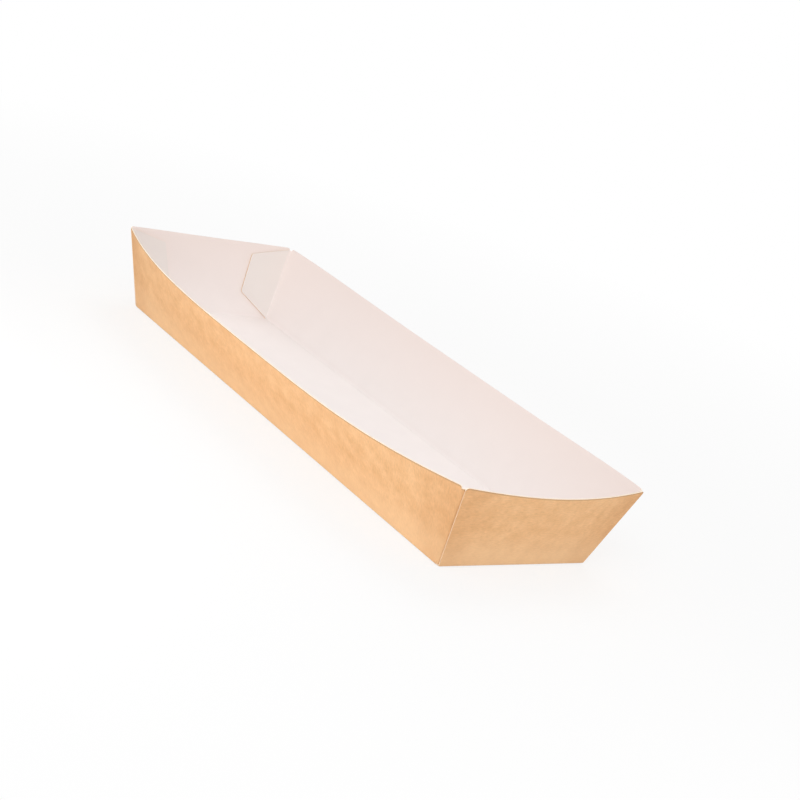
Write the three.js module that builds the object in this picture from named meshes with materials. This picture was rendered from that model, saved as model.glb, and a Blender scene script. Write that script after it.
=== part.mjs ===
// A paper food tray, the open boat shape that hot snacks are served in. It is cut from one kraft board,
// creased, folded up and glued at its four corners. X runs along the tray, Y across it, Z up, and the
// origin is in the middle of the underside. Sizes are in millimetres and degrees.
//
// The blank is a rectangular floor with a straight-edged wall panel on each side. Each side wall carries
// a glue tab at both ends, which turns round the corner and is stuck to the inside of the end wall. The
// corners hold the walls at one lean. Between them the board springs further out, so the rim dips in the
// middle of each wall although the panels are equally deep all along.
import * as THREE from "three";

// Floor, between the crease lines.
const floorLength = 200;
const floorWidth = 60;

// Walls: their depth up the slope, and how far they lean out from upright.
const wallDepth = 30;
const cornerLean = 13.4;
const sideLean = 32;
const endLean = 21.3;

// How the lean grows from the corners to the middle: 2 is an even bow, more is flatter in the middle.
const sideSpring = 3.4;
const endSpring = 2;

// Board, its creases and its glue.
const board = 0.4;
const foldRadius = 0.4; // inside radius of every crease
const glueLine = 0.1;
const seamGap = 0.15; // the end wall's cut edge stops this far short of the side wall's face

// Glue tabs: their width from the corner, and the top and foot of their free edge up the slope.
const tabWidth = 15.8;
const tabTop = 25.6;
const tabFoot = 10.2;
const tabRounding = 1.5;

// Rounding of the wall panels' top corners.
const sideRounding = 0.9;
const endRounding = 1.2;

// Facets along and up the panels.
const sideSteps = 26;
const endSteps = 12;
const tabSteps = 4;
const wallRows = 4;
const foldSteps = 4;
const roundingSteps = 3;

const rad = THREE.MathUtils.degToRad;
const lerp = THREE.MathUtils.lerp;

// Run of a corner seam along X, and the same along Y, over the whole depth of a wall.
const cornerRun = wallDepth * Math.sin(rad(cornerLean));

// How far from its line a crease starts to bend: at the walls' feet, and at the upright corners.
const footSetback = (foldRadius + board) * Math.tan(rad(90 - cornerLean) / 2);
const cornerSetback = foldRadius + board;

// Depth of a glue tab's outer face under the end wall's outer face.
const tabDepth = board + glueLine;

// The outer faces of the walls on the +Y and the +X side. A place runs along a wall from -1 at one corner
// to 1 at the other, and a height runs up its slope.
const sideWall = {
  reach: (height) => floorLength / 2 + (cornerRun * height) / wallDepth,
  lean: (place) => rad(lerp(sideLean, cornerLean, Math.abs(place) ** sideSpring)),
  point(place, height) {
    const out = floorWidth / 2 + height * Math.sin(this.lean(place));
    return new THREE.Vector3(this.reach(height) * place, out, height * Math.cos(this.lean(place)));
  },
  outward: new THREE.Vector3(0, 1, 0),
};

const endWall = {
  reach: (height) => floorWidth / 2 + (cornerRun * height) / wallDepth,
  lean: (place) => rad(lerp(endLean, cornerLean, Math.abs(place) ** endSpring)),
  point(place, height) {
    const out = floorLength / 2 + height * Math.sin(this.lean(place));
    return new THREE.Vector3(out, this.reach(height) * place, height * Math.cos(this.lean(place)));
  },
  outward: new THREE.Vector3(1, 0, 0),
};

// Outward normal of a wall's outer face.
function normalOf(wall, place, height) {
  const step = 0.001;
  const along = wall.point(place + step, height).sub(wall.point(place - step, height));
  const up = wall.point(place, height + step).sub(wall.point(place, height - step));
  const normal = along.cross(up).normalize();
  return normal.dot(wall.outward) > 0 ? normal : normal.negate();
}

// Point at a depth under a wall's outer face.
function under(wall, place, height, depth) {
  return wall.point(place, height).addScaledVector(normalOf(wall, place, height), -depth);
}

// How far a rounded corner lowers an edge, at a distance from the edge's end.
function roundedDrop(distance, radius) {
  if (distance >= radius) return 0;
  return radius - Math.sqrt(radius ** 2 - (radius - distance) ** 2);
}

// Stations from start to end, even at first and then in equal turns round the corner at the end.
function stations(start, end, steps, radius) {
  const list = [];
  for (let i = 0; i < steps; i += 1) {
    list.push(lerp(start, end - radius, i / steps));
  }
  for (let i = 0; i <= roundingSteps; i += 1) {
    list.push(end - radius + radius * Math.sin(((i / roundingSteps) * Math.PI) / 2));
  }
  return list;
}

// The sheet, as points that each have a place on the outer and the inner face, and the facets between.
const sheet = { outer: [], inner: [], facets: [] };

function addPoint({ outer, inner }) {
  sheet.outer.push(outer);
  sheet.inner.push(inner);
  return sheet.outer.length - 1;
}

// Floor points, each kept once, because the panels on both sides of a corner start from it.
const floorPoints = new Map();

function addFloorPoint(x, y) {
  const key = `${x} ${y}`;
  if (!floorPoints.has(key)) {
    const outer = new THREE.Vector3(x, y, 0);
    const inner = new THREE.Vector3(x, y, board);
    floorPoints.set(key, addPoint({ outer, inner }));
  }
  return floorPoints.get(key);
}

// Joins columns of points, two facets a cell. Each column runs up, and the columns run to the right as
// seen from inside the tray, which makes the facets face the outside.
function addPanel(columns) {
  for (let i = 1; i < columns.length; i += 1) {
    for (let j = 1; j < columns[i].length; j += 1) {
      const [a, b] = [columns[i - 1][j - 1], columns[i - 1][j]];
      const [c, d] = [columns[i][j - 1], columns[i][j]];
      sheet.facets.push([a, b, d], [a, d, c]);
    }
  }
}

// Heights of a column's rows between its foot and its top.
function rowHeights(foot, top) {
  return Array.from({ length: wallRows + 1 }, (_, row) => lerp(foot, top, row / wallRows));
}

// A column of a wall panel. Its share says where it stands, from -1 to 1 between the panel's ends, which
// stop short of the wall's corner lines.
function wallColumn(wall, share, short, rounding) {
  const endDistance = (1 - Math.abs(share)) * (wall.reach(wallDepth) - short);
  const top = wallDepth - roundedDrop(endDistance, rounding);
  return rowHeights(footSetback, top).map((height) => {
    const place = share * (1 - short / wall.reach(height));
    return { outer: wall.point(place, height), inner: under(wall, place, height, board) };
  });
}

// The points of a crease arc, from the floor up to the foot of a wall column, the ends left out.
function footArc(wall, share, floorEnd, wallFoot) {
  const turn = Math.PI / 2 - wall.lean(share);
  const radius = footSetback / Math.tan(turn / 2);
  const arc = [];
  for (let i = 1; i < foldSteps; i += 1) {
    const angle = (turn * i) / foldSteps;
    const outer = floorEnd.clone().lerp(wallFoot, Math.sin(angle) / Math.sin(turn));
    outer.setZ(radius * (1 - Math.cos(angle)));
    const inner = outer.clone().addScaledVector(wall.outward, -board * Math.sin(angle));
    inner.z += board * Math.cos(angle);
    arc.push({ outer, inner });
  }
  return arc;
}

// A column of a glue tab, which lies on the inside of the end wall at a distance from the corner.
function tabColumn(distance) {
  const share = (distance - cornerSetback) / (tabWidth - cornerSetback);
  const drop = roundedDrop(tabWidth - distance, tabRounding);
  const foot = lerp(footSetback, tabFoot, share) + drop;
  const top = lerp(wallDepth - sideRounding, tabTop, share) - drop;
  return rowHeights(foot, top).map((height) => {
    const place = 1 - distance / endWall.reach(height);
    return {
      outer: under(endWall, place, height, tabDepth),
      inner: under(endWall, place, height, tabDepth + board),
    };
  });
}

// The columns of an upright corner crease, between a side wall's last column and a tab's first one.
function cornerColumns(wallEnd, tabStart) {
  const heights = rowHeights(footSetback, wallDepth - sideRounding);
  const arcs = heights.map((height, row) => {
    const place = 1 - tabDepth / Math.cos(rad(cornerLean)) / sideWall.reach(height);
    const outerCorner = sideWall.point(place, height);
    const wallNormal = normalOf(sideWall, place, height);
    const tabNormal = normalOf(endWall, 1, height);
    const inset = board / (1 + wallNormal.dot(tabNormal));
    const innerCorner = outerCorner.clone().addScaledVector(wallNormal.add(tabNormal), -inset);
    return {
      outer: new THREE.QuadraticBezierCurve3(wallEnd[row].outer, outerCorner, tabStart[row].outer),
      inner: new THREE.QuadraticBezierCurve3(wallEnd[row].inner, innerCorner, tabStart[row].inner),
    };
  });
  const columns = [];
  for (let i = 1; i < foldSteps; i += 1) {
    const share = i / foldSteps;
    columns.push(arcs.map(({ outer, inner }) => ({
      outer: outer.getPoint(share),
      inner: inner.getPoint(share),
    })));
  }
  return columns;
}

// Mirrors a column of points to the tray's -X half.
function mirrored(column) {
  const flip = new THREE.Vector3(-1, 1, 1);
  return column.map(({ outer, inner }) => ({
    outer: outer.clone().multiply(flip),
    inner: inner.clone().multiply(flip),
  }));
}

// Adds a column of points, turned half round the tray's middle when turn is -1.
function addColumn(column, turn) {
  const spin = new THREE.Vector3(turn, turn, 1);
  return column.map(({ outer, inner }) => addPoint({
    outer: outer.clone().multiply(spin),
    inner: inner.clone().multiply(spin),
  }));
}

// Adds the creases between the floor and a wall whose panel is in place, and returns its floor points.
function addFootCrease(wall, shares, wallColumns, turn) {
  const floorX = floorLength / 2 - footSetback;
  const floorY = floorWidth / 2 - footSetback;
  const columns = shares.map((share, i) => {
    const [x, y] = wall === sideWall ? [floorX * share, floorY] : [floorX, floorY * share];
    const wallFoot = sheet.outer[wallColumns[i][0]].clone().multiply(new THREE.Vector3(turn, turn, 1));
    const arc = footArc(wall, share, new THREE.Vector3(x, y, 0), wallFoot);
    return [addFloorPoint(turn * x, turn * y), ...addColumn(arc, turn), wallColumns[i][0]];
  });
  addPanel(columns);
  return columns.map((column) => column[0]);
}

// A side wall with its two glue tabs, from one tab's free edge round to the other's.
function addSideWall(turn) {
  const short = cornerSetback + tabDepth;
  const reach = sideWall.reach(wallDepth) - short;
  const half = stations(0, reach, sideSteps / 2, sideRounding).map((distance) => distance / reach);
  const halfColumns = half.map((share) => wallColumn(sideWall, share, short, sideRounding));
  const tab = stations(cornerSetback, tabWidth, tabSteps, tabRounding).map(tabColumn);
  const corner = cornerColumns(halfColumns.at(-1), tab[0]);
  const outerColumns = [...halfColumns.slice(1), ...corner, ...tab];
  const columns = [...outerColumns.map(mirrored).reverse(), halfColumns[0], ...outerColumns];
  const points = columns.map((column) => addColumn(column, turn));
  addPanel(points);

  const shares = [...half.slice(1).map((share) => -share).reverse(), ...half];
  const skipped = corner.length + tab.length;
  return addFootCrease(sideWall, shares, points.slice(skipped, skipped + shares.length), turn);
}

// An end wall. Its side edges are cut, and cover the side walls' glue tabs.
function addEndWall(turn) {
  const reach = endWall.reach(wallDepth) - seamGap;
  const half = stations(0, reach, endSteps / 2, endRounding).map((distance) => distance / reach);
  const shares = [...half.slice(1).reverse(), ...half.map((share) => -share)];
  const columns = shares.map((share) => wallColumn(endWall, share, seamGap, endRounding));
  const points = columns.map((column) => addColumn(column, turn));
  addPanel(points);
  return addFootCrease(endWall, shares, points, turn);
}

// The floor, as a fan of facets from its middle to the feet of the four walls.
function addFloor(edges) {
  const loop = edges.flatMap((edge) => edge.slice(1));
  const middle = addFloorPoint(0, 0);
  loop.forEach((point, i) => sheet.facets.push([middle, point, loop[(i + 1) % loop.length]]));
}

// The closed solid: the outer face, the inner face turned over, and the cut edge between them.
function sheetGeometry() {
  const count = sheet.outer.length;
  const open = new Map();
  const index = [];
  for (const [a, b, c] of sheet.facets) {
    index.push(a, b, c, count + a, count + c, count + b);
    for (const [from, to] of [[a, b], [b, c], [c, a]]) {
      if (!open.delete(`${to} ${from}`)) open.set(`${from} ${to}`, [from, to]);
    }
  }
  for (const [from, to] of open.values()) {
    index.push(to, from, count + from, to, count + from, count + to);
  }
  const geometry = new THREE.BufferGeometry().setFromPoints([...sheet.outer, ...sheet.inner]);
  geometry.setIndex(index);
  geometry.computeVertexNormals();
  return geometry;
}

addFloor([addSideWall(1), addEndWall(1), addSideWall(-1), addEndWall(-1)]);

const kraftBoard = new THREE.MeshStandardMaterial({ color: 0xd9a878, roughness: 0.9, metalness: 0 });

const tray = new THREE.Group();
const foldedTray = new THREE.Mesh(sheetGeometry(), kraftBoard);
foldedTray.name = "folded_tray";
tray.add(foldedTray);

export default tray;
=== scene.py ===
"""A paper food tray, folded from one board: brown kraft outside and a pale coating inside.

The board is modelled as the real one is made: a flat rectangular blank, slit beside its glue tabs, which is
folded up into the tray and then given its thickness.
"""

import math

import bmesh
import bpy
from mathutils import Matrix, Quaternion, Vector


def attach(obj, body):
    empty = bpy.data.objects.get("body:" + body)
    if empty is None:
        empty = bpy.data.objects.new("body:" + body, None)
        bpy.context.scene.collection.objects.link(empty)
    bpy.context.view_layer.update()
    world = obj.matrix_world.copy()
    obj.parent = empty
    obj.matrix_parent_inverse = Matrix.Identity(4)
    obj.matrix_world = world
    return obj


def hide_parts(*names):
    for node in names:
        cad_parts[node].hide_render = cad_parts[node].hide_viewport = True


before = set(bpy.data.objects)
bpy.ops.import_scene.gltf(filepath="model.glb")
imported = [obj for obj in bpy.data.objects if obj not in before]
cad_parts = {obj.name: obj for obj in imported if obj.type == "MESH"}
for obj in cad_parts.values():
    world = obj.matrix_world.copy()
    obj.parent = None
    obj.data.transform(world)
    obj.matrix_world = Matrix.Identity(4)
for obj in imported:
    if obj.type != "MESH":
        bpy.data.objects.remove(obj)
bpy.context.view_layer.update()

# The tray, in millimetres and degrees.
FLOOR_LENGTH = 200.0
FLOOR_WIDTH = 60.0
WALL_DEPTH = 30.0
CORNER_LEAN = 13.4
SIDE_LEAN = 32.0
END_LEAN = 21.3
SIDE_SPRING = 3.4
END_SPRING = 2.0
BOARD = 0.4
FOLD_RADIUS = 0.4
GLUE_LINE = 0.1
SEAM_GAP = 0.15
TAB_WIDTH = 15.8
TAB_TOP = 25.6
TAB_FOOT = 10.2
TAB_ROUNDING = 0.6
SIDE_ROUNDING = 0.9
END_ROUNDING = 1.2

# The strip along each cut edge that the cutting rule presses, and the softened corners of that edge.
PRESSED_EDGE = 0.6
EDGE_SOFTENING = 0.05
EDGE_SEGMENTS = 2
ROUND_PROFILE = 0.5

# Faces that meet at less than this many degrees are shaded as one smooth surface.
SMOOTH_ANGLE = 30.0

# Facets of the blank: along the floor, across it, round each fold, up each wall and round a corner.
LENGTH_STEPS = 72
WIDTH_STEPS = 26
FOLD_STEPS = 6
WALL_STEPS = 14
ROUND_STEPS = 5

# The flat grid reaches this far from its middle before its points are put in place.
GRID_REACH = 0.5

# A wall's slope is measured over this step, as a share of its length and in millimetres of its height.
SLOPE_STEP = 0.001

# Only an end wall's outermost columns, which lie over the glue tabs, are past this share of its length.
WALL_END_SHARE = 0.999

# Places of the materials on the tray: the outer face has the first one, 0.
INNER_MATERIAL = 1
EDGE_MATERIAL = 2

MM = 0.001

# The camera, in degrees and millimetres. The photograph's horizon is tilted, which is the roll.
CAMERA_AZIMUTH = 48.373
CAMERA_ELEVATION = 17.204
CAMERA_ROLL = 18.475
CAMERA_AIM = (9.02, 16.45, 13.63)
CAMERA_DISTANCE = 534.6
CLIP_START = 10.0
LENS = 69.25
SENSOR = 36.0


def colour(code):
    """Linear RGBA of an sRGB hex colour such as D9A066."""
    channels = [int(code[i:i + 2], 16) / 255 for i in (0, 2, 4)]
    linear = [c / 12.92 if c <= 0.04045 else ((c + 0.055) / 1.055) ** 2.4 for c in channels]
    return (*linear, 1.0)


def lerp(a, b, share):
    return a + (b - a) * share


CORNER_RUN = WALL_DEPTH * math.sin(math.radians(CORNER_LEAN))
FOOT_SETBACK = (FOLD_RADIUS + BOARD) * math.tan(math.radians(90 - CORNER_LEAN) / 2)
CORNER_SETBACK = FOLD_RADIUS + BOARD
TAB_DEPTH = BOARD + GLUE_LINE


class Wall:
    """The outer face of a wall on the +X or +Y side. A place runs along it from -1 to 1 between its
    corners, and a height runs up its slope."""

    def __init__(self, across, half_length, distance, middle_lean, spring):
        self.across = across
        self.half_length = half_length
        self.distance = distance
        self.middle_lean = middle_lean
        self.spring = spring

    def reach(self, height):
        return self.half_length + CORNER_RUN * height / WALL_DEPTH

    def lean(self, place):
        return math.radians(lerp(self.middle_lean, CORNER_LEAN, abs(place) ** self.spring))

    def point(self, place, height):
        lean = self.lean(place)
        along = self.reach(height) * place
        out = self.distance + height * math.sin(lean)
        flat = (out, along) if self.across == "X" else (along, out)
        return Vector((*flat, height * math.cos(lean)))

    def normal(self, place, height):
        along = self.point(place + SLOPE_STEP, height) - self.point(place - SLOPE_STEP, height)
        up = self.point(place, height + SLOPE_STEP) - self.point(place, height - SLOPE_STEP)
        normal = along.cross(up).normalized()
        return normal if normal[0 if self.across == "X" else 1] > 0 else -normal


SIDE = Wall("Y", FLOOR_LENGTH / 2, FLOOR_WIDTH / 2, SIDE_LEAN, SIDE_SPRING)
END = Wall("X", FLOOR_WIDTH / 2, FLOOR_LENGTH / 2, END_LEAN, END_SPRING)


def rounded_drop(distance, radius):
    """How far a rounded corner lowers an edge, at a distance from the edge's end."""
    if distance >= radius:
        return 0.0
    return radius - math.sqrt(radius ** 2 - (radius - distance) ** 2)


def half_stations(end, steps, radius):
    """Stations from 0 to end: even, and then in equal turns round the corner at the end."""
    even = [(end - radius) * i / steps for i in range(steps)]
    turns = [math.pi / 2 * i / ROUND_STEPS for i in range(ROUND_STEPS + 1)]
    return even + [end - radius + radius * math.sin(turn) for turn in turns]


def height_at(step, foot, top):
    """Height of a wall's row: even rows, and a last narrow one for the pressed edge."""
    if step == WALL_STEPS:
        return top
    return lerp(foot, top - PRESSED_EDGE, step / (WALL_STEPS - 1))


def mirrored_shares(end, steps, radius):
    """The same stations as shares from -1 to 1 of a whole edge."""
    half = [station / end for station in half_stations(end, steps, radius)]
    return [-share for share in reversed(half[1:])] + half


SIDE_SHORT = CORNER_SETBACK + TAB_DEPTH
SIDE_END = SIDE.reach(WALL_DEPTH) - SIDE_SHORT
END_END = END.reach(WALL_DEPTH) - SEAM_GAP
LENGTH_SHARES = mirrored_shares(SIDE_END, (LENGTH_STEPS - 2 * ROUND_STEPS) // 2, SIDE_ROUNDING)
WIDTH_SHARES = mirrored_shares(END_END, (WIDTH_STEPS - 2 * ROUND_STEPS) // 2, END_ROUNDING)
BLOCK = FOLD_STEPS + WALL_STEPS
FLOOR_X = FLOOR_LENGTH / 2 - FOOT_SETBACK
FLOOR_Y = FLOOR_WIDTH / 2 - FOOT_SETBACK


def wall_spot(wall, share, step, short, end, rounding):
    """Place and height on a wall panel, in a row of the column at a share of the panel's length."""
    top = WALL_DEPTH - rounded_drop((1 - abs(share)) * end, rounding)
    height = height_at(step, FOOT_SETBACK, top)
    return wall.point(share * (1 - short / wall.reach(height)), height), height


def fold_spot(wall, share, step, floor_spot, wall_foot):
    """Place on the fold between the floor and a wall."""
    turn = math.pi / 2 - wall.lean(share)
    radius = FOOT_SETBACK / math.tan(turn / 2)
    angle = turn * step / FOLD_STEPS
    spot = floor_spot.lerp(wall_foot, math.sin(angle) / math.sin(turn))
    spot.z = radius * (1 - math.cos(angle))
    return spot


def panel_spot(wall, share, step, short, end, rounding):
    """Place and flat distance from the floor's edge, for a row of a wall's fold or panel."""
    if step >= FOLD_STEPS:
        spot, height = wall_spot(wall, share, step - FOLD_STEPS, short, end, rounding)
        return spot, height + FOOT_SETBACK
    flat = (FLOOR_X, FLOOR_Y * share) if wall is END else (FLOOR_X * share, FLOOR_Y)
    wall_foot = wall_spot(wall, share, 0, short, end, rounding)[0]
    spot = fold_spot(wall, share, step, Vector((*flat, 0)), wall_foot)
    return spot, 2 * FOOT_SETBACK * step / FOLD_STEPS


def tab_rows(distance):
    """Foot and top of a glue tab at a distance from the corner."""
    share = (distance - CORNER_SETBACK) / (TAB_WIDTH - CORNER_SETBACK)
    drop = rounded_drop(TAB_WIDTH - distance, TAB_ROUNDING)
    foot = lerp(FOOT_SETBACK, TAB_FOOT, share) + drop
    top = lerp(WALL_DEPTH - SIDE_ROUNDING, TAB_TOP, share) - drop
    return foot, top


def tab_spot(distance, row):
    """Place and height on a glue tab's outer face, against the inside of the end wall."""
    foot, top = tab_rows(distance)
    height = height_at(row, foot, top)
    place = 1 - distance / END.reach(height)
    return END.point(place, height) - TAB_DEPTH * END.normal(place, height), height


def corner_spot(column, row):
    """Place and height on a corner fold, between the side wall's end and its glue tab."""
    foot, top = tab_rows(CORNER_SETBACK)
    height = height_at(row, foot, top)
    start = SIDE.point(1 - SIDE_SHORT / SIDE.reach(height), height)
    middle = SIDE.point(1 - TAB_DEPTH / math.cos(math.radians(CORNER_LEAN)) / SIDE.reach(height), height)
    end = tab_spot(CORNER_SETBACK, row)[0]
    share = column / FOLD_STEPS
    return start.lerp(middle, share).lerp(middle.lerp(end, share), share), height


TAB_STATIONS = [
    CORNER_SETBACK + station
    for station in half_stations(TAB_WIDTH - CORNER_SETBACK, WALL_STEPS - ROUND_STEPS, TAB_ROUNDING)
]


def quarter_spot(i, j):
    """Folded and flat place of a blank point whose floor step or wall step is i along X and j along Y,
    in the quarter where both are positive. Each is (share, wall step), and a wall step of 0 is the floor."""
    (x_share, x_step), (y_share, y_step) = i, j
    if x_step == 0 and y_step == 0:
        spot = Vector((FLOOR_X * x_share, FLOOR_Y * y_share, 0))
        return spot, (spot.x, spot.y)
    if x_step == 0:
        spot, out = panel_spot(SIDE, x_share, y_step, SIDE_SHORT, SIDE_END, SIDE_ROUNDING)
        return spot, (spot.x, FLOOR_Y + out)
    if y_step == 0:
        spot, out = panel_spot(END, y_share, x_step, SEAM_GAP, END_END, END_ROUNDING)
        return spot, (FLOOR_X + out, spot.y)
    row = max(y_step - FOLD_STEPS, 0)
    if x_step <= FOLD_STEPS:
        spot, height = corner_spot(x_step, row)
        along = CORNER_SETBACK * 2 * x_step / FOLD_STEPS
    else:
        distance = TAB_STATIONS[x_step - FOLD_STEPS]
        spot, height = tab_spot(distance, row)
        along = CORNER_SETBACK + distance
    return spot, (SIDE.reach(height) - SIDE_SHORT + along, FLOOR_Y + height + FOOT_SETBACK)


def blank_line(index, shares):
    """Side, share and wall step of a grid line: the blank's floor lies between its two walls."""
    last = len(shares) - 1
    if index < BLOCK:
        return -1, 1.0, BLOCK - index
    if index > BLOCK + last:
        return 1, 1.0, index - BLOCK - last
    share = shares[index - BLOCK]
    return (-1 if share < 0 else 1), abs(share), 0


def is_glued(x_step, y_share, y_step):
    """Whether a blank point is on a glue tab, or on the end of an end wall that lies over the tab."""
    on_tab = x_step >= FOLD_STEPS and y_step > 0
    at_wall_end = x_step > 0 and y_step == 0 and y_share > WALL_END_SHARE
    return on_tab or at_wall_end


def fold_blank():
    """The flat blank as one grid, slit beside its tabs and folded up. Returns its outer face.

    Its attributes mark the pressed cut edges, the glued board and, in millimetres, how far each point of a
    wall is from the wall's nearest corner."""
    columns = 2 * BLOCK + len(LENGTH_SHARES) - 1
    rows = 2 * BLOCK + len(WIDTH_SHARES) - 1
    sheet = bmesh.new()
    flat = sheet.loops.layers.uv.new("blank")
    pressed = sheet.verts.layers.float.new("pressed")
    glued = sheet.verts.layers.float.new("glued")
    from_corner = sheet.verts.layers.float.new("from_corner")
    bmesh.ops.create_grid(sheet, x_segments=columns, y_segments=rows, size=GRID_REACH)
    lines = {
        vertex: (round((vertex.co.x + GRID_REACH) * columns), round((vertex.co.y + GRID_REACH) * rows))
        for vertex in sheet.verts
    }

    def steps(vertex):
        column, row = lines[vertex]
        return blank_line(column, LENGTH_SHARES)[2], blank_line(row, WIDTH_SHARES)[2]

    slits = [
        face for face in sheet.faces
        if max(steps(vertex)[0] for vertex in face.verts) > 0
        and 0 < max(steps(vertex)[1] for vertex in face.verts) <= FOLD_STEPS
    ]
    bmesh.ops.delete(sheet, geom=slits, context="FACES")

    flat_of = {}
    for vertex in sheet.verts:
        column, row = lines[vertex]
        x_side, x_share, x_step = blank_line(column, LENGTH_SHARES)
        y_side, y_share, y_step = blank_line(row, WIDTH_SHARES)
        spot, (u, v) = quarter_spot((x_share, x_step), (y_share, y_step))
        vertex.co = Vector((x_side * spot.x, y_side * spot.y, spot.z)) * MM
        flat_of[vertex] = (x_side * u * MM, y_side * v * MM)
        vertex[from_corner] = max((1 - x_share) * SIDE_END, (1 - y_share) * END_END)
        vertex[glued] = 1.0 if is_glued(x_step, y_share, y_step) else 0.0
    for face in sheet.faces:
        for loop in face.loops:
            loop[flat].uv = flat_of[loop.vert]
    bmesh.ops.reverse_faces(sheet, faces=sheet.faces)

    for vertex in sheet.verts:
        x_step, y_step = steps(vertex)
        corner_foot = 0 < x_step <= FOLD_STEPS and y_step <= FOLD_STEPS
        vertex[pressed] = 1.0 if vertex.is_boundary and not corner_foot else 0.0
    return sheet


def give_thickness(tray):
    """Gives the outer face the board's thickness inwards, with its inner face and cut edge in materials of
    their own, and takes the sharpness off the cut edge's corners."""
    solid = tray.modifiers.new("board", "SOLIDIFY")
    solid.thickness = BOARD * MM
    solid.offset = -1
    solid.use_even_offset = True
    solid.material_offset = INNER_MATERIAL
    solid.material_offset_rim = EDGE_MATERIAL
    evaluated = tray.evaluated_get(bpy.context.evaluated_depsgraph_get())
    thick = bpy.data.meshes.new_from_object(evaluated)
    tray.modifiers.clear()
    tray.data = thick

    mesh = bmesh.new()
    mesh.from_mesh(thick)
    corners = [
        edge for edge in mesh.edges
        if len({face.material_index for face in edge.link_faces}) > 1
    ]
    bmesh.ops.bevel(
        mesh, geom=corners, offset=EDGE_SOFTENING * MM, offset_type="OFFSET", affect="EDGES",
        segments=EDGE_SEGMENTS, profile=ROUND_PROFILE, material=-1, clamp_overlap=True,
    )
    for face in mesh.faces:
        face.smooth = True
    for edge in mesh.edges:
        edge.smooth = edge.calc_face_angle(0) < math.radians(SMOOTH_ANGLE)
    mesh.to_mesh(thick)
    mesh.free()


def add_node(material, kind, inputs=None, **settings):
    """Adds a node with its settings. An input is a value, or the output socket that feeds it."""
    tree = material.node_tree
    made = tree.nodes.new(kind)
    for name, value in settings.items():
        setattr(made, name, value)
    for name, value in (inputs or {}).items():
        if isinstance(value, bpy.types.NodeSocket):
            tree.links.new(value, made.inputs[name])
        else:
            made.inputs[name].default_value = value
    return made


def new_material(name):
    material = bpy.data.materials.new(name)
    material.use_nodes = True
    material.node_tree.nodes.clear()
    return material


# Sockets of a Mix node that mixes colours.
MIX_A = 6
MIX_B = 7
MIX_COLOUR = 2

# Most of a noise texture's values lie between these two.
NOISE_LOW = 0.3
NOISE_HIGH = 0.7


def blank_millimetres(material, stretch=(1, 1)):
    """Coordinates on the flat blank in millimetres, so that a pattern follows the board round its folds."""
    blank = add_node(material, "ShaderNodeUVMap", uv_map="blank")
    scale = (stretch[0] / MM, stretch[1] / MM, 1)
    mapping = add_node(material, "ShaderNodeMapping", {"Vector": blank.outputs["UV"], "Scale": scale})
    return mapping.outputs["Vector"]


def past_fold(material):
    """Distance in millimetres on the blank beyond the floor's folds, which is negative on the floor."""
    apart = add_node(material, "ShaderNodeSeparateXYZ", {"Vector": blank_millimetres(material)})
    along = add_node(material, "ShaderNodeMath", {0: apart.outputs["X"]}, operation="ABSOLUTE")
    across = add_node(material, "ShaderNodeMath", {0: apart.outputs["Y"]}, operation="ABSOLUTE")
    past_end = add_node(material, "ShaderNodeMath", {
        0: along.outputs["Value"], 1: FLOOR_X}, operation="SUBTRACT")
    past_side = add_node(material, "ShaderNodeMath", {
        0: across.outputs["Value"], 1: FLOOR_Y}, operation="SUBTRACT")
    furthest = add_node(material, "ShaderNodeMath", {
        0: past_end.outputs["Value"], 1: past_side.outputs["Value"]}, operation="MAXIMUM")
    return furthest.outputs["Value"]


def cloudy(material, fineness, roughness, dark, light):
    """A colour that drifts between two tones in soft clouds. The fineness is about how many of them there are
    to the millimetre."""
    clouds = add_node(material, "ShaderNodeTexNoise", {
        "Vector": blank_millimetres(material), "Scale": fineness, "Detail": 3.0, "Roughness": roughness})
    tint = add_node(material, "ShaderNodeValToRGB", {"Fac": clouds.outputs["Fac"]})
    low, high = tint.color_ramp.elements
    low.position = NOISE_LOW
    low.color = colour(dark)
    high.position = NOISE_HIGH
    high.color = colour(light)
    return tint.outputs["Color"]


def tinted(material, base, value, span, shares, tint, fade="LINEAR", blend="MIX"):
    """The base colour mixed with a tint. The tint's share goes from the first of its shares to the second
    while the value goes over its span."""
    share = add_node(material, "ShaderNodeMapRange", {
        "Value": value, "From Min": span[0], "From Max": span[1],
        "To Min": shares[0], "To Max": shares[1]}, interpolation_type=fade)
    mixed = add_node(material, "ShaderNodeMix", {
        "Factor": share.outputs["Result"], MIX_A: base, MIX_B: colour(tint)},
        data_type="RGBA", blend_type=blend)
    return mixed.outputs[MIX_COLOUR]


def finish_surface(material, surface):
    output = add_node(material, "ShaderNodeOutputMaterial")
    material.node_tree.links.new(surface.outputs["BSDF"], output.inputs["Surface"])
    return material


# Grain of the kraft liner: about how many clouds, fibres and dark flecks there are to the millimetre. A
# stretch is what that number is multiplied by along and across the blank, so fibres and flecks are drawn out
# across it. The fibres are some ten times as wide as real ones, so that they show.
KRAFT_CLOUDS = 0.2
KRAFT_FIBRES = 2.0
KRAFT_FLECKS = 4.0
FIBRE_STRETCH = (1, 0.3)
FLECK_STRETCH = (1, 0.2)
KRAFT_DARK = "E5B482"
KRAFT_LIGHT = "F2C492"

# How much the fibres darken and lighten the kraft, and how high they stand, in millimetres.
FIBRE_DARKEST = 0.92
FIBRE_LIGHTEST = 1.08
KRAFT_RELIEF = 0.03
KRAFT_RELIEF_STRENGTH = 0.2

# Only the peaks of the flecks' noise show, up to this share of their own brown.
FLECK_SPAN = (0.66, 0.76)
FLECK_SHARE = 0.45
FLECK_BROWN = "B98456"

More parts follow.
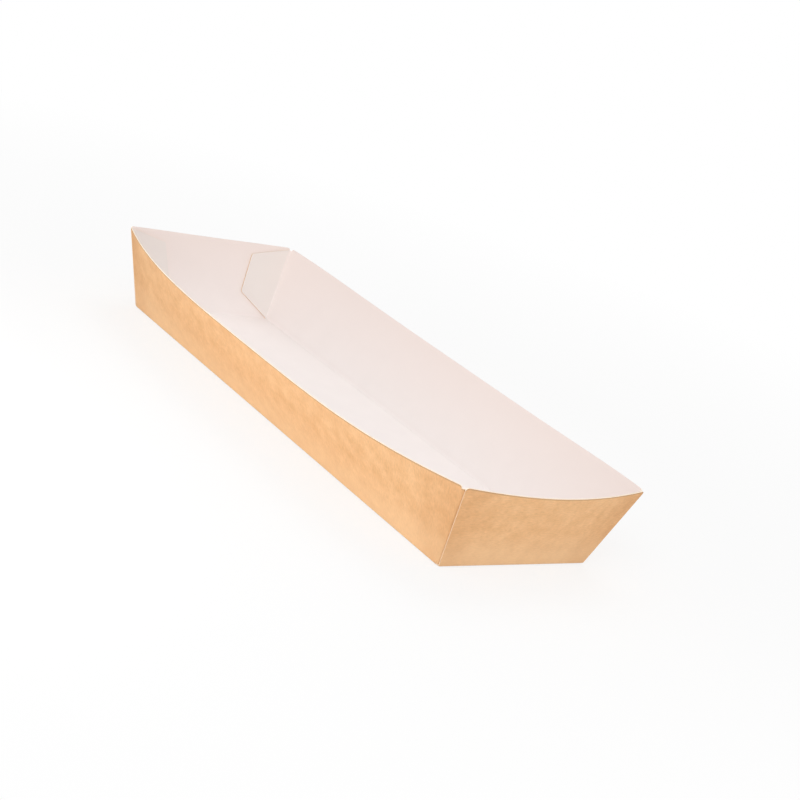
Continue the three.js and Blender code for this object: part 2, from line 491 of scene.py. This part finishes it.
# The kraft is paler along the floor's folds: a little of this is creased fibres, and most of it is painted
# light, standing in for light bounced up from the white floor onto the walls' feet. The paleness fades out
# over this many millimetres up the wall.
CREASE_AND_PAINTED_LIGHT_SHARE = 0.55
CREASE_AND_PAINTED_LIGHT_FADE = 18.0
CREASE_AND_PAINTED_LIGHT_PALE = "FCDCB2"

# Painted shade: the kraft is darker towards the tray's corners, where the walls turn away from the light. The
# shade fades out over this many millimetres along the wall.
CORNER_FADE = 20.0
CORNER_SHADE = "F4EDE7"

# How far the pressed strip along a cut edge goes to its darker brown, which it reaches before the edge.
PRESSED_SHARE = 0.75
PRESSED_FULL = 0.6
PRESSED_BROWN = "B99069"


def kraft_liner():
    """Unbleached kraft liner: matt, warm brown, a little cloudy from the wire it was formed on, with fine
    fibres that lie mostly across the blank."""
    kraft = new_material("unbleached_kraft_liner")
    clouded = cloudy(kraft, KRAFT_CLOUDS, 0.6, KRAFT_DARK, KRAFT_LIGHT)
    fibres = add_node(kraft, "ShaderNodeTexNoise", {
        "Vector": blank_millimetres(kraft, FIBRE_STRETCH), "Scale": KRAFT_FIBRES, "Detail": 4.0,
        "Roughness": 0.6})
    fibre_tone = add_node(kraft, "ShaderNodeMapRange", {
        "Value": fibres.outputs["Fac"], "From Min": NOISE_LOW, "From Max": NOISE_HIGH,
        "To Min": FIBRE_DARKEST, "To Max": FIBRE_LIGHTEST})
    fibred = add_node(kraft, "ShaderNodeVectorMath", {
        0: clouded, "Scale": fibre_tone.outputs["Result"]}, operation="SCALE")
    flecks = add_node(kraft, "ShaderNodeTexNoise", {
        "Vector": blank_millimetres(kraft, FLECK_STRETCH), "Scale": KRAFT_FLECKS, "Detail": 2.0,
        "Roughness": 0.5, "Distortion": 0.6})
    flecked = tinted(
        kraft, fibred.outputs["Vector"], flecks.outputs["Fac"], FLECK_SPAN, (0.0, FLECK_SHARE), FLECK_BROWN)
    from_crease = add_node(kraft, "ShaderNodeMath", {0: past_fold(kraft)}, operation="ABSOLUTE")
    # Painted light: the kraft is paler near the floor's folds and fades back up the wall, partly creased
    # fibres and mostly floor-bounce light.
    creased_and_painted_light = tinted(
        kraft, flecked, from_crease.outputs["Value"], (0.0, CREASE_AND_PAINTED_LIGHT_FADE), (CREASE_AND_PAINTED_LIGHT_SHARE, 0.0), CREASE_AND_PAINTED_LIGHT_PALE,
        fade="SMOOTHSTEP")
    from_corner = add_node(kraft, "ShaderNodeAttribute", attribute_name="from_corner")
    # Painted shade: the kraft darkens towards the tray's corners.
    shaded = tinted(
        kraft, creased_and_painted_light, from_corner.outputs["Fac"], (0.0, CORNER_FADE), (1.0, 0.0), CORNER_SHADE,
        fade="SMOOTHSTEP", blend="MULTIPLY")
    pressed = add_node(kraft, "ShaderNodeAttribute", attribute_name="pressed")
    edged = tinted(
        kraft, shaded, pressed.outputs["Fac"], (0.0, PRESSED_FULL), (0.0, PRESSED_SHARE), PRESSED_BROWN)
    bump = add_node(kraft, "ShaderNodeBump", {
        "Height": fibres.outputs["Fac"], "Strength": KRAFT_RELIEF_STRENGTH, "Distance": KRAFT_RELIEF * MM})
    surface = add_node(kraft, "ShaderNodeBsdfPrincipled", {
        "Base Color": edged, "Roughness": 0.85, "IOR": 1.47, "Specular IOR Level": 0.3,
        "Normal": bump.outputs["Normal"]})
    return finish_surface(kraft, surface)


# The liner's clouds and fibres to the millimetre, its two whites, and how high its fibres stand under the
# coating, in millimetres.
LINER_CLOUDS = 0.12
LINER_FIBRES = 1.2
LINER_STRETCH = (1, 0.5)
LINER_DARK = "F8F0ED"
LINER_LIGHT = "FAF2EF"
LINER_RELIEF = 0.02
LINER_RELIEF_STRENGTH = 0.12

# Millimetres above the floor's folds at which the painted shade on the liner starts, darkening it and turning
# it pinker up the walls, and its shaded white at the rim.
WALL_SHADE_START = 4.0
RIM_SHADE_PINK = "F2E4DE"

# How far the doubled, glued board of the tabs goes to its greyer white.
GLUED_SHARE = 0.35
GLUED_GREY = "E6E4DE"


def coated_liner():
    """Bleached liner under a thin grease-proof coating: off-white, smooth and a little satiny. It is whitest
    on the floor, darker and pinker towards the rim as painted shade, and greyer on the glue tabs."""
    coated = new_material("coated_white_liner")
    clouded = cloudy(coated, LINER_CLOUDS, 0.5, LINER_DARK, LINER_LIGHT)
    fibres = add_node(coated, "ShaderNodeTexNoise", {
        "Vector": blank_millimetres(coated, LINER_STRETCH), "Scale": LINER_FIBRES, "Detail": 3.0,
        "Roughness": 0.6})
    bump = add_node(coated, "ShaderNodeBump", {
        "Height": fibres.outputs["Fac"], "Strength": LINER_RELIEF_STRENGTH, "Distance": LINER_RELIEF * MM})
    # Painted shade: the liner darkens and turns pinker up the walls towards the rim.
    wall_shaded = tinted(coated, clouded, past_fold(coated), (WALL_SHADE_START, WALL_DEPTH), (0.0, 1.0), RIM_SHADE_PINK)
    glued = add_node(coated, "ShaderNodeAttribute", attribute_name="glued")
    greyed = tinted(coated, wall_shaded, glued.outputs["Fac"], (0.0, 1.0), (0.0, GLUED_SHARE), GLUED_GREY)
    surface = add_node(coated, "ShaderNodeBsdfPrincipled", {
        "Base Color": greyed, "Roughness": 0.5, "IOR": 1.5, "Normal": bump.outputs["Normal"]})
    return finish_surface(coated, surface)


# The cut edge's plies to the millimetre, its two creams, and its brown where the board is glued, which is
# partly the glue and partly painted shade.
EDGE_PLIES = 1.5
EDGE_DARK = "FAE8D2"
EDGE_LIGHT = "FFF2E0"
GLUED_EDGE_BROWN_AND_SHADE = "EFCDAA"


def cut_edge():
    """Die-cut board seen edge on: soft and matt, with the plies as faint streaks. It is cream along the rim,
    and browner where the board is glued: partly the glue, and partly painted shade on the tab and seam edges,
    which sit in the corners."""
    edge = new_material("die_cut_board_edge")
    streaked = cloudy(edge, EDGE_PLIES, 0.6, EDGE_DARK, EDGE_LIGHT)
    glued = add_node(edge, "ShaderNodeAttribute", attribute_name="glued")
    # Partly painted shade: the glued tab and seam edges are browned, as they sit in the corners' shadow.
    browned = tinted(edge, streaked, glued.outputs["Fac"], (0.0, 1.0), (0.0, 1.0), GLUED_EDGE_BROWN_AND_SHADE)
    surface = add_node(edge, "ShaderNodeBsdfPrincipled", {
        "Base Color": browned, "Roughness": 0.9, "IOR": 1.45})
    return finish_surface(edge, surface)


def make_tray():
    """The folded board, one piece."""
    sheet = fold_blank()
    mesh = bpy.data.meshes.new("folded_board")
    sheet.to_mesh(mesh)
    sheet.free()
    tray = bpy.data.objects.new("folded_board", mesh)
    bpy.context.scene.collection.objects.link(tray)
    for material in (kraft_liner(), coated_liner(), cut_edge()):
        mesh.materials.append(material)
    give_thickness(tray)
    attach(tray, "root")
    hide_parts("folded_tray")


# The floor's width in metres, and how far it lies under the tray.
STAGE_SIZE = 60.0
STAGE_DROP = 0.1 * MM

# How much of the floor is plain white to the camera: near the tray the rest is the lit floor, which has the
# tray's shadow, and further away none is. The two distances are in metres.
WHITENED_SHARE = 0.78
NEAR_FLOOR = 0.15
FAR_FLOOR = 0.45


def seen_directly(material):
    """1 for rays that show the surroundings to the camera, straight, in a gloss or through glass, and 0 for
    the rays that light things."""
    path = add_node(material, "ShaderNodeLightPath")
    glossy_too = add_node(material, "ShaderNodeMath", {
        0: path.outputs["Is Camera Ray"], 1: path.outputs["Is Glossy Ray"]}, operation="MAXIMUM")
    glass_too = add_node(material, "ShaderNodeMath", {
        0: glossy_too.outputs["Value"], 1: path.outputs["Is Transmission Ray"]}, operation="MAXIMUM")
    return glass_too.outputs["Value"]


def white_floor():
    """Matt white, partly replaced by plain white where the camera sees it."""
    white = new_material("matt_white_floor")
    place = add_node(white, "ShaderNodeTexCoord")
    distance = add_node(white, "ShaderNodeVectorMath", {0: place.outputs["Object"]}, operation="LENGTH")
    share = add_node(white, "ShaderNodeMapRange", {
        "Value": distance.outputs["Value"], "From Min": NEAR_FLOOR, "From Max": FAR_FLOOR,
        "To Min": WHITENED_SHARE, "To Max": 1.0})
    whitened = add_node(white, "ShaderNodeMath", {
        0: seen_directly(white), 1: share.outputs["Result"]}, operation="MULTIPLY")
    lit = add_node(white, "ShaderNodeBsdfDiffuse", {"Color": colour("F8F8F8")})
    plain = add_node(white, "ShaderNodeEmission", {"Color": colour("FFFFFF"), "Strength": 1.0})
    surface = add_node(white, "ShaderNodeMixShader", {
        0: whitened.outputs["Value"], 1: lit.outputs["BSDF"], 2: plain.outputs["Emission"]})
    output = add_node(white, "ShaderNodeOutputMaterial")
    white.node_tree.links.new(surface.outputs["Shader"], output.inputs["Surface"])
    return white


def make_stage():
    """A plain white floor. The camera sees most of it as pure white, and the rest keeps the tray's shadow."""
    floor_mesh = bmesh.new()
    bmesh.ops.create_grid(floor_mesh, x_segments=1, y_segments=1, size=STAGE_SIZE / 2)
    mesh = bpy.data.meshes.new("studio_floor")
    floor_mesh.to_mesh(mesh)
    floor_mesh.free()
    mesh.transform(Matrix.Translation((0, 0, -STAGE_DROP)))
    mesh.materials.append(white_floor())
    floor = bpy.data.objects.new("studio_floor", mesh)
    bpy.context.scene.collection.objects.link(floor)


WORLD_LEVEL = 0.56


def make_world():
    """Even, soft surroundings, which the camera sees as pure white."""
    world = bpy.data.worlds.new("studio")
    bpy.context.scene.world = world
    world.use_nodes = True
    background = world.node_tree.nodes["Background"]
    background.inputs["Color"].default_value = (1, 1, 1, 1)
    level = add_node(world, "ShaderNodeMapRange", {
        "Value": seen_directly(world), "To Min": WORLD_LEVEL, "To Max": 1.0})
    world.node_tree.links.new(level.outputs["Result"], background.inputs["Strength"])


def add_softbox(name, place, size, power):
    """A soft box that faces the tray's origin. Its place and its width and height are in metres, and its
    power in watts."""
    lamp = bpy.data.lights.new(name, "AREA")
    lamp.shape = "RECTANGLE"
    lamp.size, lamp.size_y = size
    lamp.energy = power
    lamp_object = bpy.data.objects.new(name, lamp)
    lamp_object.location = place
    lamp_object.rotation_mode = "QUATERNION"
    lamp_object.rotation_quaternion = Vector(place).to_track_quat("Z", "Y")
    lamp_object.visible_camera = False
    bpy.context.scene.collection.objects.link(lamp_object)


def make_lamps():
    """Two large soft boxes above the tray, and two small low ones that face its near walls."""
    add_softbox("front_softbox", place=(0.35, -0.45, 0.5), size=(0.5, 0.5), power=1.65)
    add_softbox("back_softbox", place=(-0.3, 0.4, 0.8), size=(0.6, 0.6), power=2.0)
    add_softbox("low_side_softbox", place=(0.0, -0.22, 0.05), size=(0.14, 0.08), power=0.11)
    add_softbox("low_end_softbox", place=(0.45, 0.0, 0.07), size=(0.12, 0.12), power=0.17)


def make_camera():
    """The photograph's view."""
    azimuth = math.radians(CAMERA_AZIMUTH)
    elevation = math.radians(CAMERA_ELEVATION)
    level = Vector((math.sin(azimuth), -math.cos(azimuth), 0))
    back = level * math.cos(elevation) + Vector((0, 0, math.sin(elevation)))
    camera = bpy.data.cameras.new("photo_view")
    camera.lens = LENS
    camera.sensor_width = SENSOR
    camera.clip_start = CLIP_START * MM
    camera_object = bpy.data.objects.new("photo_view", camera)
    camera_object.location = (Vector(CAMERA_AIM) + back * CAMERA_DISTANCE) * MM
    camera_object.rotation_mode = "QUATERNION"
    roll = Quaternion((0, 0, 1), math.radians(CAMERA_ROLL))
    camera_object.rotation_quaternion = back.to_track_quat("Z", "Y") @ roll
    bpy.context.scene.collection.objects.link(camera_object)
    bpy.context.scene.camera = camera_object


bpy.context.scene.view_settings.view_transform = "Standard"
make_camera()
make_tray()
make_stage()
make_world()
make_lamps()
